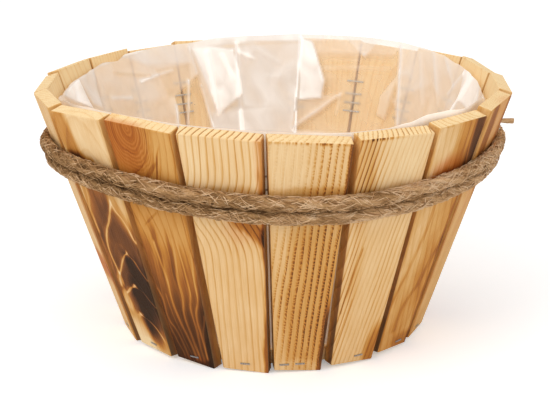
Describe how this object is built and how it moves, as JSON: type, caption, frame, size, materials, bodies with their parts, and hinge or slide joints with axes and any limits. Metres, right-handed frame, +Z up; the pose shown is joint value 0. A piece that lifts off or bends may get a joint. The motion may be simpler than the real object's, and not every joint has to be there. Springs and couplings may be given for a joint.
{
  "type": "planter tub",
  "caption": "Round tapered planter tub of flamed wood staves stapled to a base board, with a loose film liner inside and jute rope wound round the outside.",
  "frame": {"origin": "on the floor, under the centre of the tub", "axes": "+Z up along the axis of the tub, -Y towards the front that the picture shows, +X to the right seen from the front"},
  "size_m": [0.309, 0.3058, 0.1677],
  "materials": {
    "stave_wood": "flamed and brushed pine, bare",
    "base_wood": "bare pine",
    "liner_film": "milky translucent crumpled film",
    "jute_rope": "hairy laid jute",
    "staple_wire": "galvanised flat wire"
  },
  "bodies": {
    "root": {"stave_01": "stave_wood", "stave_02": "stave_wood", "stave_03": "stave_wood", "stave_04": "stave_wood", "stave_05": "stave_wood", "stave_06": "stave_wood", "stave_07": "stave_wood", "stave_08": "stave_wood", "stave_09": "stave_wood", "stave_10": "stave_wood", "stave_11": "stave_wood", "stave_12": "stave_wood", "stave_13": "stave_wood", "stave_14": "stave_wood", "stave_15": "stave_wood", "stave_16": "stave_wood", "stave_17": "stave_wood", "stave_18": "stave_wood", "stave_19": "stave_wood", "base_board": "base_wood", "liner": "liner_film", "rope": "jute_rope", "rope_strand_end": "jute_rope", "base_staples": "staple_wire", "joint_staples": "staple_wire"}
  },
  "joints": []
}
